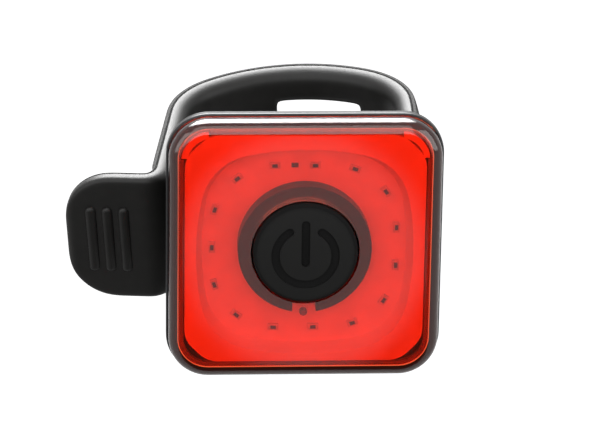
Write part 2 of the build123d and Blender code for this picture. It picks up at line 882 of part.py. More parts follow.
def write_strap_tail():
    """Left arm of the strap, with the hole for the hook and the ribbed pull tab."""
    plan = across_post(0, strap_roll)
    yaw = radians(tab_yaw)
    half = strap_thickness / 2
    arm_x = left_arm_centre(arm_end)
    tab_length = (arm_x - tab_tip_x) / cos(yaw)
    tip_u = arm_end + tab_length * sin(yaw)
    thin_back = tab_thickness - half
    mitre = half / cos(flare - yaw)
    mitre_x = mitre * (cos(yaw) - sin(flare))
    mitre_u = mitre * (sin(yaw) + cos(flare))
    front_tip = (tab_tip_x - half * sin(yaw), tip_u - half * cos(yaw))
    back_tip = (tab_tip_x + thin_back * sin(yaw), tip_u + thin_back * cos(yaw))
    front_bend = (arm_x + mitre_x, arm_end - mitre_u)
    back_bend = (arm_x - mitre_x, arm_end + mitre_u)
    inner_face = (flare_x + half * cos(flare), flare_u - half * sin(flare))
    first_angle = split_angle + gap_angle
    left_corner = 180 - corner_angle
    swing = radians(first_angle)
    outward = plan.x_dir * cos(swing) + plan.y_dir * sin(swing)
    along = plan.y_dir * cos(swing) - plan.x_dir * sin(swing)
    tab_right = plan.x_dir * cos(yaw) - plan.y_dir * sin(yaw)
    tab_face = Plane(origin=strap_point(arm_x, arm_end), x_dir=tab_right,
                     z_dir=tab_right.cross(plan.z_dir)).offset(half)
    with BuildPart() as tail:
        with BuildLine(plan) as route:
            CenterArc((0, far_centre_u), far_path_radius, first_angle, left_corner - first_angle)
            CenterArc((-corner_centre_x, corner_centre_u), corner_path_radius, left_corner,
                      corner_angle - arm_flare)
            Line((flare_x, flare_u), (left_arm_centre(arm_end - half), arm_end - half))
        start = strap_point(far_path_radius * cos(swing),
                            far_centre_u + far_path_radius * sin(swing))
        sweep(strap_section(start, outward, along), path=route.wires()[0])
        with BuildSketch(across_post(-strap_height / 2, strap_roll)):
            with BuildLine():
                Polyline(front_tip, front_bend, back_bend, back_tip, close=True)
            make_face()
        extrude(amount=strap_height)
        with BuildSketch(across_post(-strap_height, strap_roll)):
            with BuildLine():
                FilletPolyline(front_tip, front_bend, inner_face, radius=bend_radius)
                Polyline(inner_face, (strap_outer_half, flare_u),
                         (strap_outer_half, 2 * strap_outer_far),
                         (front_tip[0], 2 * strap_outer_far), front_tip)
            make_face()
        extrude(amount=2 * strap_height, mode=Mode.INTERSECT)
        with BuildPart(mode=Mode.INTERSECT) as envelope:
            with BuildSketch(tab_face):
                RectangleRounded(2 * tab_length, strap_height, tab_corner)
            extrude(amount=-2 * strap_height - tab_length)
            front = envelope.faces().sort_by_distance(tab_face.origin)[0]
            fillet(front.edges(), tab_edge_round)
        with BuildSketch(tab_face):
            middle_rib = rib_first_from_tip + (rib_count - 1) * rib_pitch / 2
            with Locations((middle_rib - tab_length, 0)):
                with GridLocations(rib_pitch, 0, rib_count, 1):
                    SlotOverall(rib_length, rib_width, rotation=90)
        extrude(amount=rib_height)
        hole_middle = (hook_hole_start + hook_hole_end) / 2
        hole_x = left_arm_centre(hole_middle)
        with BuildSketch(Plane(origin=strap_point(hole_x + strap_thickness, hole_middle),
                               x_dir=plan.y_dir, z_dir=-plan.x_dir)):
            RectangleRounded(hook_hole_end - hook_hole_start, hook_hole_height,
                             hook_hole_corner)
        extrude(amount=3 * strap_thickness, mode=Mode.SUBTRACT)
    save(tail, "strap_tail")


os.makedirs("parts", exist_ok=True)
write_lens_cover()
write_lens_seal()
write_housing()
write_reflector()
write_board()
write_board_screws()
write_leds()
write_indicator()
write_resistors()
write_collar()
write_button()
write_switch()
write_battery()
write_socket()
write_flap()
write_bracket()
write_bracket_screws()
write_saddle_pad()
write_anchor_pin()
write_strap_band()
write_strap_tail()
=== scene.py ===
# %% [markdown]
# # A square rear bicycle light in Blender
# The light is a clear red box with a round power button in its middle. A black rubber
# strap behind it loops around the seat post and ends in a ribbed pull tab on the left.
# The solid model is already there, in metres and in its final place. This notebook keeps
# it as a frame, gives every piece its finish, and builds new meshes where the real piece
# is soft, bent or smoother than the solid.

# %% Load the frame
import math

import bmesh
import bpy
from mathutils import Matrix, Vector


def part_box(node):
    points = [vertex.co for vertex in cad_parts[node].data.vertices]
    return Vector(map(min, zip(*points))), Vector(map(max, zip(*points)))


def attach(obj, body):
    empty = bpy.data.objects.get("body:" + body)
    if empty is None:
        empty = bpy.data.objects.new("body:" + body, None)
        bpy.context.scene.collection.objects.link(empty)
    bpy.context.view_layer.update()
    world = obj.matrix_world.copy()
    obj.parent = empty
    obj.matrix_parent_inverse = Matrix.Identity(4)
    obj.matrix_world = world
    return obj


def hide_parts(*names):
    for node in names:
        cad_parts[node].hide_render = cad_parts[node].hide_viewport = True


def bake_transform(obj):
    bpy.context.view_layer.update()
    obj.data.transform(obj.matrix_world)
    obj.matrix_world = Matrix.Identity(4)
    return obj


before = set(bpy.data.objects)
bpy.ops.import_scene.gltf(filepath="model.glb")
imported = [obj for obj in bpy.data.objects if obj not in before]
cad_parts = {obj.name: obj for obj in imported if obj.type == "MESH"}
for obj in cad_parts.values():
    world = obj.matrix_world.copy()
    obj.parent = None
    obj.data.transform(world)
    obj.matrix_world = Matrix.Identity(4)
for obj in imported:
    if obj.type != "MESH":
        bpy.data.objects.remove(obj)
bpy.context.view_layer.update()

MM = 0.001

# %% [markdown]
# ## Where the camera stands
# The photograph is a product shot through a long lens, from a little to the left of the
# light and about twenty degrees above it. The upright edges of the lens lean towards each
# other by a hair, and that fixes the distance. A camera can be aimed with constraints, but
# a matrix written from three unit vectors needs no extra object and never drifts.

# %% Camera
lens_low, lens_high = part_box("lens_cover")
LENS_FACE_Y = lens_low[1]
LENS_CENTRE_Z = (lens_low[2] + lens_high[2]) / 2
camera_azimuth = math.radians(-3.5)
camera_elevation = math.radians(20.306)
camera_roll = math.radians(0.873)
camera_distance = 503.58 * MM
focal_length = 207.02
aim_aside = -0.861 * MM
aim_rise = 5.102 * MM
aim = Vector((aim_aside, LENS_FACE_Y, LENS_CENTRE_Z + aim_rise))

backward = Vector((math.sin(camera_azimuth) * math.cos(camera_elevation),
                   -math.cos(camera_azimuth) * math.cos(camera_elevation),
                   math.sin(camera_elevation)))
level_right = Vector((math.cos(camera_azimuth), math.sin(camera_azimuth), 0))
level_up = backward.cross(level_right)
right = level_right * math.cos(camera_roll) + level_up * math.sin(camera_roll)
up = level_up * math.cos(camera_roll) - level_right * math.sin(camera_roll)

camera_data = bpy.data.cameras.new("camera")
camera_data.sensor_width = 36.0
camera_data.lens = focal_length
camera_data.clip_start = 0.05
camera = bpy.data.objects.new("camera", camera_data)
bpy.context.scene.collection.objects.link(camera)
camera.matrix_world = Matrix.Translation(aim + backward * camera_distance) @ Matrix(
    (right, up, backward)).transposed().to_4x4()
bpy.context.scene.camera = camera
print("camera lens", round(camera_data.lens, 1), "mm")

# %% [markdown]
# ## A white studio
# The photograph has a pure white background and no shadow that the eye can find. The light
# stands in a white room, so the world is white for the eye, for glass and for most mirror
# rays, and dimmer where it lights the surfaces, which is left to the lamps. Behind the
# camera the real studio was dark, and the black rubber shows that, so mirror rays that go
# down past the camera find a darker patch. A picture of a studio could be wrapped around
# instead, but a few numbers are easier to tune than a picture.

# %% World
bpy.context.scene.view_settings.view_transform = "Standard"
room_light = 0.27
dark_patch_light = 0.08
dark_patch_drop = math.radians(35)
dark_patch_core = math.radians(23)
dark_patch_edge = math.radians(38)
world = bpy.data.worlds.new("studio")
bpy.context.scene.world = world
world.use_nodes = True
nodes = world.node_tree.nodes
links = world.node_tree.links
backdrop = nodes["Background"]
backdrop.inputs["Color"].default_value = (1, 1, 1, 1)
rays = nodes.new("ShaderNodeLightPath")
direction = nodes.new("ShaderNodeTexCoord")
towards_patch = nodes.new("ShaderNodeVectorMath")
towards_patch.operation = "DOT_PRODUCT"
towards_patch.inputs[1].default_value = (0, -math.cos(dark_patch_drop),
                                         -math.sin(dark_patch_drop))
links.new(direction.outputs["Generated"], towards_patch.inputs[0])
mirrored = nodes.new("ShaderNodeMapRange")
mirrored.interpolation_type = "SMOOTHSTEP"
mirrored.inputs["From Min"].default_value = math.cos(dark_patch_edge)
mirrored.inputs["From Max"].default_value = math.cos(dark_patch_core)
mirrored.inputs["To Min"].default_value = 1.0
mirrored.inputs["To Max"].default_value = dark_patch_light
links.new(towards_patch.outputs["Value"], mirrored.inputs["Value"])
clear = nodes.new("ShaderNodeMath")
clear.operation = "MAXIMUM"
links.new(rays.outputs["Is Camera Ray"], clear.inputs[0])
links.new(rays.outputs["Is Transmission Ray"], clear.inputs[1])
room = nodes.new("ShaderNodeMapRange")
room.inputs["To Min"].default_value = room_light
room.inputs["To Max"].default_value = 1.0
links.new(clear.outputs[0], room.inputs["Value"])
choice = nodes.new("ShaderNodeMix")
links.new(rays.outputs["Is Glossy Ray"], choice.inputs["Factor"])
links.new(room.outputs["Result"], choice.inputs["A"])
links.new(mirrored.outputs["Result"], choice.inputs["B"])
links.new(choice.outputs["Result"], backdrop.inputs["Strength"])
print("room", room_light, "dark patch", dark_patch_light)

# %% [markdown]
# ## Lamps
# A soft box from the front and above lights the face, and one on each side draws the bright
# lines along the rounded edges. The big one behind is what makes black rubber readable: its
# reflection turns the upper edge of the strap light grey. It would bleach everything else,
# so only mirror rays see it, and a narrow spread lets it fade towards its own edges, as a
# honeycomb grid on a soft box does.

# %% Soft boxes
def soft_box(name, azimuth, elevation, distance, width, height, power):
    """A square lamp that looks at the lens. Zero degrees is the front, and left is minus."""
    azimuth = math.radians(azimuth)
    elevation = math.radians(elevation)
    lamp_data = bpy.data.lights.new(name, "AREA")
    lamp_data.shape = "RECTANGLE"
    lamp_data.size = width
    lamp_data.size_y = height
    lamp_data.energy = power
    lamp = bpy.data.objects.new(name, lamp_data)
    bpy.context.scene.collection.objects.link(lamp)
    towards = Vector((math.sin(azimuth) * math.cos(elevation),
                      -math.cos(azimuth) * math.cos(elevation), math.sin(elevation)))
    lamp.matrix_world = Matrix.Translation(aim + towards * distance) @ towards.to_track_quat(
        "Z", "Y").to_matrix().to_4x4()
    return lamp


front_distance = 0.6
back_distance = 0.7
soft_box("key_lamp", azimuth=-12, elevation=36, distance=front_distance,
         width=0.7, height=0.9, power=4.8)
soft_box("left_lamp", azimuth=-65, elevation=20, distance=front_distance,
         width=0.3, height=0.5, power=1.4)
soft_box("right_lamp", azimuth=62, elevation=20, distance=front_distance,
         width=0.5, height=0.5, power=2.6)
back_lamp = soft_box("back_lamp", azimuth=186, elevation=53, distance=back_distance,
                     width=0.8, height=0.8, power=10.5)
back_lamp.data.spread = math.radians(60)
back_lamp.visible_camera = False
back_lamp.visible_diffuse = False
back_lamp.visible_transmission = False
print("lamps", len(bpy.data.lights))

# %% [markdown]
# ## Floor and card
# A pale floor lies well below the light, which hovers as it does in the photograph, so its
# shadow is too soft to see. In the flat face of the lens the photograph shows a pale haze
# that ends before the corners, where the red is deep. That is the reflection of a white
# card near the floor. The card fades towards its rim and only mirror rays see it.

# %% Floor and card
def plain_material(name, colour, roughness):
    """Principled material with one colour, for the other makers to build on."""
    material = bpy.data.materials.new(name)
    material.use_nodes = True
    shader = material.node_tree.nodes["Principled BSDF"]
    shader.inputs["Base Color"].default_value = (*colour, 1)
    shader.inputs["Roughness"].default_value = roughness
    return material, shader


def stage_sheet(name, half_width, place, material):
    """Square sheet of the studio, which isn't part of the object."""
    mesh = bmesh.new()
    bmesh.ops.create_grid(mesh, x_segments=1, y_segments=1, size=half_width)
    mesh.transform(place)
    data = bpy.data.meshes.new(name)
    mesh.to_mesh(data)
    mesh.free()
    sheet = bpy.data.objects.new(name, data)
    bpy.context.scene.collection.objects.link(sheet)
    data.materials.append(material)
    sheet.visible_diffuse = False
    return sheet


floor_depth = 1.2
floor_half_width = 9.0
floor_light = 0.9
floor_white, floor_shader = plain_material("floor_white", (0.8, 0.8, 0.8), 0.9)
floor_shader.inputs["Emission Color"].default_value = (1, 1, 1, 1)
floor_shader.inputs["Emission Strength"].default_value = floor_light
floor_place = Matrix.Translation((0, 0, -floor_depth))
floor = stage_sheet("floor", floor_half_width, floor_place, floor_white)
floor.visible_glossy = False
floor.visible_transmission = False
floor.visible_shadow = False

card_distance = 0.6
card_half_width = 0.22
card_light = 1.1
card_rim_light = 0.05
card_bright_reach = 0.033
card_dark_reach = 0.043
lens_middle = Vector((0, LENS_FACE_Y, LENS_CENTRE_Z))
towards_eye = camera.matrix_world.translation - lens_middle
towards_card = Vector((-towards_eye.x, towards_eye.y, -towards_eye.z)).normalized()
card_middle = lens_middle + towards_card * card_distance
card_glow, card_shader = plain_material("card_glow", (0, 0, 0), 1.0)
card_shader.inputs["Specular IOR Level"].default_value = 0
card_shader.inputs["Emission Color"].default_value = (1, 1, 1, 1)
card_nodes = card_glow.node_tree.nodes
card_links = card_glow.node_tree.links
card_place = card_nodes.new("ShaderNodeTexCoord")
card_reach = card_nodes.new("ShaderNodeVectorMath")
card_reach.operation = "DISTANCE"
card_reach.inputs[1].default_value = card_middle
card_links.new(card_place.outputs["Object"], card_reach.inputs[0])
card_fade = card_nodes.new("ShaderNodeMapRange")
card_fade.interpolation_type = "SMOOTHSTEP"
card_fade.inputs["From Min"].default_value = card_bright_reach
card_fade.inputs["From Max"].default_value = card_dark_reach
card_fade.inputs["To Min"].default_value = card_light
card_fade.inputs["To Max"].default_value = card_rim_light
card_links.new(card_reach.outputs["Value"], card_fade.inputs["Value"])
card_links.new(card_fade.outputs["Result"], card_shader.inputs["Emission Strength"])
card_turn = towards_card.to_track_quat("Z", "Y").to_matrix().to_4x4()
card_at = Matrix.Translation(card_middle) @ card_turn
card = stage_sheet("card", card_half_width, card_at, card_glow)
card.visible_camera = False
card.visible_transmission = False
card.visible_shadow = False
print("card at", [round(v, 3) for v in card_middle])

# %% [markdown]
# ## Makers of finishes
# Every finish is one small node tree. Texture scales are given by the size of the grain in
# millimetres, because the object is less than six centimetres wide and a wrong scale would
# make it look like a toy of another size. Mould texture, uneven colour and faint smears in
# the gloss are noise in object space, so they need no unwrapping.

# %% Makers of finishes
cloud_grains = 12
uneven_gloss = 0.15


def noise_of(material, grain, detail=3.0):
    """Noise texture in object space whose grain has a size in millimetres."""
    tree = material.node_tree
    place = tree.nodes.new("ShaderNodeTexCoord")
    noise = tree.nodes.new("ShaderNodeTexNoise")
    noise.inputs["Scale"].default_value = 1 / (grain * MM)
    noise.inputs["Detail"].default_value = detail
    tree.links.new(place.outputs["Object"], noise.inputs["Vector"])
    return noise.outputs["Fac"]


def spread(material, factor, low, high, start=0.3, end=0.7):
    """Number between low and high that follows a factor from its start to its end."""
    node = material.node_tree.nodes.new("ShaderNodeMapRange")
    node.inputs["From Min"].default_value = start
    node.inputs["From Max"].default_value = end
    node.inputs["To Min"].default_value = low
    node.inputs["To Max"].default_value = high
    material.node_tree.links.new(factor, node.inputs["Value"])
    return node.outputs["Result"]


def mix_colours(material, factor, first, second):
    """Colour between two, by a factor."""
    tree = material.node_tree
    mix = tree.nodes.new("ShaderNodeMix")
    mix.data_type = "RGBA"
    mix.inputs["A"].default_value = (*first, 1)
    mix.inputs["B"].default_value = (*second, 1)
    tree.links.new(factor, mix.inputs["Factor"])
    return mix.outputs["Result"]


def depth_of(material):
    """Place along the axis of the light in metres, which grows towards the back."""
    tree = material.node_tree
    place = tree.nodes.new("ShaderNodeTexCoord")
    parts = tree.nodes.new("ShaderNodeSeparateXYZ")
    tree.links.new(place.outputs["Object"], parts.inputs[0])
    return parts.outputs["Y"]


def bump(material, shader, height, depth):
    """Bump of a depth in millimetres from a height between 0 and 1."""
    tree = material.node_tree
    node = tree.nodes.new("ShaderNodeBump")
    node.inputs["Distance"].default_value = depth * MM
    tree.links.new(height, node.inputs["Height"])
    tree.links.new(node.outputs["Normal"], shader.inputs["Normal"])


def moulded(name, colour, roughness, grain=0.25, depth=0.004, level=0.5, tone=0.15):
    """Moulded plastic or rubber: slightly uneven colour and gloss over a fine grain."""
    material, shader = plain_material(name, colour, roughness)
    cloud = noise_of(material, cloud_grains * grain)
    fine = noise_of(material, grain)
    darker = tuple(channel * (1 - tone) for channel in colour)
    lighter = tuple(min(1, channel * (1 + tone)) for channel in colour)
    tree = material.node_tree
    shade = spread(material, cloud, 0, 1)
    tree.links.new(mix_colours(material, shade, darker, lighter), shader.inputs["Base Color"])
    glossiest = (1 - uneven_gloss) * roughness
    dullest = min(1, (1 + uneven_gloss) * roughness)
    tree.links.new(spread(material, fine, glossiest, dullest), shader.inputs["Roughness"])
    shader.inputs["Specular IOR Level"].default_value = level
    bump(material, shader, fine, depth)
    return material


def metal(name, colour, roughness):
    """Plated or stainless metal with a fine grain and uneven gloss."""
    material = moulded(name, colour, roughness, grain=0.4, depth=0.002, tone=0.08)
    material.node_tree.nodes["Principled BSDF"].inputs["Metallic"].default_value = 1
    return material


# %% [markdown]
# ## The clear red lens
# The cover of a rear light is injection moulded from tinted acrylic or polycarbonate. It is
# real glass for the renderer: transmission with the plastic's index. Two hundredths of it
# are milky, which is what lets the thick dark edge glow faintly pink instead of black. A
# tinted volume would be truer for thick glass, but a wall of a millimetre and a half looks
# the same with a tinted surface, and renders much faster.

# %% Clear red plastic
def clear_red(name):
    """Clear red plastic with a polished face and the faintest ripple of its moulding."""
    clear_share = 0.98
    index_of_acrylic = 1.49
    polished = 0.02
    smeared = 0.05
    material, shader = plain_material(name, (1.0, 0.12, 0.04), 0.0)
    shader.inputs["Transmission Weight"].default_value = clear_share
    shader.inputs["IOR"].default_value = index_of_acrylic
    ripple = noise_of(material, grain=9.0, detail=1.0)
    haze = noise_of(material, grain=3.0)
    material.node_tree.links.new(spread(material, haze, polished, smeared),
                                 shader.inputs["Roughness"])
    bump(material, shader, ripple, depth=0.004)
    return material


# %% [markdown]
# ## The button's rubber
# The power symbol is a groove in the solid already, but it is shallow, and grey light from
# all sides fills it. So the floor of the groove gets painted shade, a darker colour where
# a deeper groove would be in shade. It is also duller, while fingers have polished the top.
# The depth along the axis of the button tells one from the other, with no mask to paint.

# %% Button rubber
def button_rubber(name):
    """Rubber of the button, with painted shade on the floor of the engraved symbol, which is
    also duller.
    """
    top = (0.0055, 0.0055, 0.0053)
    # painted shade for the floor of the engraved groove
    painted_groove_shade = (0.0025, 0.0025, 0.0025)
    top_roughness = 0.62
    floor_roughness = 0.9
    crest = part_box("button_cap")[0][1]
    floor_start = crest + 0.30 * MM
    floor_end = crest + 0.38 * MM
    material = moulded(name, top, top_roughness, grain=0.12, depth=0.006, level=0.12)
    tree = material.node_tree
    shader = tree.nodes["Principled BSDF"]
    sunk = spread(material, depth_of(material), 0, 1, floor_start, floor_end)
    # Painted shade: the floor of the groove is darker, as a deeper groove would be in shade.
    tree.links.new(mix_colours(material, sunk, top, painted_groove_shade), shader.inputs["Base Color"])
    tree.links.new(spread(material, sunk, top_roughness, floor_roughness, 0, 1),
                   shader.inputs["Roughness"])
    return material


# %% [markdown]
# ## The housing's plastic
# The housing is moulded in gloss black. Its front lip stands inside the lens, close to the
# white reflector, and stray light makes it look dull and lighter than the outside. Light
# that scatters so deep needs many bounces, so the lip gets a lighter tone instead. It is
# told from the rest by its depth, as the groove of the button is.

# %% Housing plastic
def housing_plastic(name):
    """Gloss black plastic whose lip inside the lens is lighter."""
    black = (0.010, 0.010, 0.011)
    lip_grey = (0.22, 0.20, 0.20)
    lip_end = lens_high[1] - 0.5 * MM
    lip_fade = 0.1 * MM
    material = moulded(name, black, 0.3, depth=0.001, level=0.22)
    tree = material.node_tree
    shader = tree.nodes["Principled BSDF"]
    inside_lens = spread(material, depth_of(material), 1, 0, lip_end, lip_end + lip_fade)
    tree.links.new(mix_colours(material, inside_lens, black, lip_grey),
                   shader.inputs["Base Color"])
    return material


# %% [markdown]
# ## A finish for every solid
# Inside the light are white plastic, a white circuit board, small lamps with yellowish
# dies, steel screws, a foil pouch and its foam. Outside are gloss black plastic and several
# rubbers. They differ by grain, gloss and a trace of colour rather than by texture, which
# is also how they differ in the hand.

# %% Finishes
def strap_rubber(name, roughness=0.47, level=0.2):
    """Black rubber of the strap with a very fine grain."""
    return moulded(name, (0.0055, 0.0053, 0.0049), roughness, grain=0.15, depth=0.003,
                   level=level)


finishes = {
    "lens_cover": clear_red("red_lens"),
    "housing": housing_plastic("gloss_black"),
    "button_collar": moulded("collar_black", (0.011, 0.011, 0.012), 0.35, level=0.25),
    "button_cap": button_rubber("button_rubber"),
    "reflector": moulded("white_plastic", (0.96, 0.96, 0.94), 0.45, grain=0.5, tone=0.03),
    "led_board": moulded("board_white", (0.95, 0.95, 0.93), 0.4, grain=0.3, tone=0.05),
    "led_packages": moulded("led_body", (0.70, 0.68, 0.62), 0.4, grain=0.1),
    "led_dies": moulded("led_die", (0.05, 0.045, 0.03), 0.3, grain=0.1),
    "front_resistor": moulded("resistor_dark", (0.06, 0.055, 0.05), 0.4, grain=0.1),
    "board_resistors": moulded("resistor_black", (0.03, 0.03, 0.03), 0.4, grain=0.1),
    "controller_chip": moulded("chip_black", (0.03, 0.03, 0.032), 0.5, grain=0.1),
    "indicator_led": moulded("indicator_body", (0.16, 0.03, 0.025), 0.3, grain=0.1),
    "board_screws": metal("screw_steel", (0.62, 0.61, 0.60), 0.3),
    "bracket_screws": metal("bracket_steel", (0.62, 0.61, 0.60), 0.3),
    "anchor_pin": metal("pin_steel", (0.66, 0.65, 0.64), 0.22),
    "socket_shell": metal("socket_nickel", (0.7, 0.69, 0.67), 0.28),
    "switch_dome": metal("dome_steel", (0.7, 0.68, 0.64), 0.3),
    "battery": moulded("foil_grey", (0.42, 0.43, 0.45), 0.38, grain=0.6, depth=0.02),
    "battery_foam": moulded("foam_grey", (0.12, 0.12, 0.12), 0.95, grain=0.3, depth=0.08),
    "battery_lead_red": moulded("lead_red", (0.55, 0.02, 0.02), 0.4, grain=0.2),
    "battery_lead_black": moulded("lead_black", (0.02, 0.02, 0.02), 0.4, grain=0.2),
    "lens_seal": moulded("grey_silicone", (0.05, 0.05, 0.052), 0.5, grain=0.2),
    "saddle_pad": moulded("liner_rubber", (0.03, 0.03, 0.03), 0.75, grain=0.2, depth=0.02),
    "socket_cover": moulded("cover_rubber", (0.022, 0.022, 0.023), 0.55, grain=0.15),
    "socket_tongue": moulded("tongue_black", (0.02, 0.02, 0.02), 0.4, grain=0.2),
    "strap_bracket": moulded("bracket_black", (0.016, 0.016, 0.017), 0.4, grain=0.2),
    "strap_band": strap_rubber("strap_rubber"),
    "strap_tail": strap_rubber("tail_rubber"),
    "switch_body": moulded("switch_black", (0.02, 0.02, 0.02), 0.45, grain=0.15),
    "switch_plunger": moulded("plunger_white", (0.7, 0.7, 0.68), 0.4, grain=0.15),
}
for name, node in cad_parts.items():
    node.data.materials.clear()
    node.data.materials.append(finishes[name])
print("finishes", len(finishes), "of", len(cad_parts))

# %% [markdown]
# ## The rubber strap
# The real strap is one moulding of soft black rubber: a band with a nearly flat inside
# and a crowned outside, with a window that lets it stretch, a hole for the hook and a
# thin pull tab. Its section changes along the way, so it is lofted: a closed ring of
# points is extruded from station to station along the middle line. A curve with a bevel
# would be shorter, but it could not thin out, lose its crown or round off at the tip.

# %% Sizes of the strap, in millimetres and degrees
strap_half_height = 10.42
strap_half = 1.7
strap_crown = 1.34
inner_round = 2.3
tab_back = 0.3
tab_round = 1.0
tip_round = 7.3
groove_width = 0.20
groove_depth = 0.16
line_inset = 0.6
edge_inset = 0.08
edge_drop_inside = 0.02
edge_drop_outside = 0.12
least_front = 0.15
flare = 8.6
yaw = 10.3
corner_radius = 10.9
corner_angle = 60.98
far_radius = 24.3
window_angle = 33.74
bend_radius = 2.7
strap_start = (17.4, -8.4)
lean = math.radians(10.0)
roll = math.radians(3.85)
post_axis = Vector((0, -math.sin(lean), math.cos(lean)))
strap_side = Vector((math.cos(roll), 0, 0)) + post_axis * math.sin(roll)
strap_up = post_axis * math.cos(roll) - Vector((math.sin(roll), 0, 0))
strap_away = Vector((0, math.cos(lean), math.sin(lean)))


def strap_space(x, u, rise):
    """Point in space of a place on the plan of the strap, at a height along the band."""
    return (strap_side * x + strap_away * u + strap_up * rise) * MM


print("strap height", 2 * strap_half_height, "mm")

# %% [markdown]
# ## The way around the post
# The middle line is walked like a turtle's path: straight runs and arcs, each with a name
# for the place where it ends and a number of stations. The names are used afterwards to
# find where the window, the hook hole, the bend and the rounded tip begin. The steps
# towards the tip get smaller, because the outline turns fastest there.

# %% Walk the middle line
moves = [
    ("right_corner", 11.47, 0.0, 5),
    ("window_right", corner_radius, corner_angle, 8),
    ("window_left", far_radius, window_angle, 8),
    ("left_corner", far_radius, 180 - 2 * corner_angle - window_angle, 5),
    ("left_arm", corner_radius, corner_angle - flare, 7),
    ("hook_far", 8.80, 0.0, 5),
    ("hook_near", 4.25, 0.0, 3),
    ("bend", 4.40, 0.0, 5),
    ("tab", bend_radius, flare - 90 - yaw, 8),
    ("rounding", 4.74, 0.0, 3),
]
tip_steps = (tip_round, 6.0, 4.8, 3.7, 2.7, 1.8, 1.1, 0.6, 0.25, 0.06, 0.0)
stations = [(strap_start[0], strap_start[1], 90.0)]
marks = {}
for name, size, turn, steps in moves:
    x, u, heading = stations[-1]
    for step in range(1, steps + 1):
        share = step / steps
        if turn == 0:
            ahead = math.radians(heading)
            stations.append((x + size * share * math.cos(ahead),
                             u + size * share * math.sin(ahead), heading))
            continue
        side = math.copysign(1, turn)
        before = math.radians(heading - 90 * side)
        after = math.radians(heading - 90 * side + turn * share)
        stations.append((x + size * (math.cos(after) - math.cos(before)),
                         u + size * (math.sin(after) - math.sin(before)),
                         heading + turn * share))
    marks[name] = len(stations) - 1
x, u, heading = stations[-1]
for left_over in tip_steps[1:]:
    reach = tip_round - left_over
    stations.append((x + reach * math.cos(math.radians(heading)),
                     u + reach * math.sin(math.radians(heading)), heading))
print("stations", len(stations), "tip", [round(v, 2) for v in stations[-1]])

# %% [markdown]
# ## The section
# A strap of this kind is rounded softly on its inner side and has a sharper outer corner
# with a fine line, where the two halves of the mould meet. Each ring is written as two
# halves, inside and outside, from the middle up. Along the bend the crown fades and the
# back comes forward, so that the tab is thinner than the band.

# %% One ring of the strap
inner_rows = (0.0, 2.2, 4.4, 5.6)
round_turns = (10, 35, 62, 85)
outer_rows = (9.6, 7.8, 5.6, 4.4, 2.2, 0.0)


def ease(first, second, share):
    """Number between two, eased at both ends."""
    share = min(1.0, max(0.0, share))
    return first + (second - first) * share * share * (3 - 2 * share)


def section(index):
    """Half section at a station, as pairs of offset and height, inside first."""
    at_tab = ease(0, 1, (index - marks["bend"]) / (marks["tab"] - marks["bend"]))
    crown = strap_crown * ease(1, 0, (index - marks["hook_near"])
                               / (marks["bend"] - marks["hook_near"]))
    back = strap_half + (tab_back - strap_half) * at_tab
    bow = inner_round + (tab_round - inner_round) * at_tab
    height = strap_half_height
    front = -strap_half
    past = index - marks["rounding"]
    if past > 0:
        left_over = tip_steps[past]
        height += math.sqrt(tip_round**2 - (tip_round - left_over) ** 2) - tip_round
        if left_over < tab_round:
            front += tab_round - math.sqrt(tab_round**2 - (tab_round - left_over) ** 2)
            bow = min(bow, back - front - groove_width - least_front)
    squeeze = height / strap_half_height
    inside = [(front, row * squeeze) for row in inner_rows]
    inside += [(front + bow - bow * math.cos(math.radians(turn)),
                height - bow + bow * math.sin(math.radians(turn))) for turn in round_turns]
    line = back - line_inset * (1 - at_tab) - groove_width
    inside.append((line, height))
    outside = [(line + groove_width / 2, height - groove_depth), (line + groove_width, height)]
    outside += [(back - edge_inset, height - edge_drop_inside),
                (back, height - edge_drop_outside)]
    outside += [(back + crown * (1 - (row / strap_half_height) ** 2), row * squeeze)
                for row in outer_rows]
    return inside, outside


def ring_places(index):
    """Places of all the points of a ring, from the inner middle up, around and back."""
    inside, outside = section(index)
    upper = inside + outside
    lower = [(offset, -rise) for offset, rise in upper[-2:0:-1]]
    x, u, heading = stations[index]
    across = math.radians(heading - 90)
    return [strap_space(x + offset * math.cos(across), u + offset * math.sin(across), rise)
            for offset, rise in upper + lower]


inside, outside = section(0)
print("ring of", len(ring_places(0)), "points")

# %% [markdown]
# ## Helpers for a loft
# A circle is extruded once for every station and then each ring is moved to its places, so
# the operator keeps the skin closed and in order. Holes are made by deleting the same
# faces on both sides and bridging the two rims, which gives the hole its walls. The rims
# are creased, so that the subdivision rounds them only a little.

# %% Loft, end and hole
rim_crease = 0.75


def loft(mesh, rings_of_places):
    """Closed skin through rings of places, made by extruding a first circle."""
    count = len(rings_of_places[0])
    first = bmesh.ops.create_circle(mesh, segments=count, radius=MM)["verts"]
    rings = [list(first)]
    for _ in rings_of_places[1:]:
        ring = rings[-1]
        edges = [mesh.edges.get(pair) for pair in zip(ring, ring[1:] + ring[:1])]
        made = bmesh.ops.extrude_edge_only(mesh, edges=edges)["geom"]
        fresh = {part for part in made if isinstance(part, bmesh.types.BMVert)}
        rings.append([next(edge.other_vert(vert) for edge in vert.link_edges
                           if edge.other_vert(vert) in fresh) for vert in ring])
    for ring, places in zip(rings, rings_of_places):
        for vert, place in zip(ring, places):
            vert.co = place
    return rings


def close_end(mesh, ring, inner_count):
    """Cap of quads between the inner and the outer half of an end ring."""
    inner = ring[-(inner_count - 1):] + ring[:inner_count]
    outer = ring[inner_count:-(inner_count - 1)]
    edges = [mesh.edges.get(pair) for pair in zip(inner, inner[1:])]
    edges += [mesh.edges.get(pair) for pair in zip(outer, outer[1:])]
    bmesh.ops.bridge_loops(mesh, edges=edges)


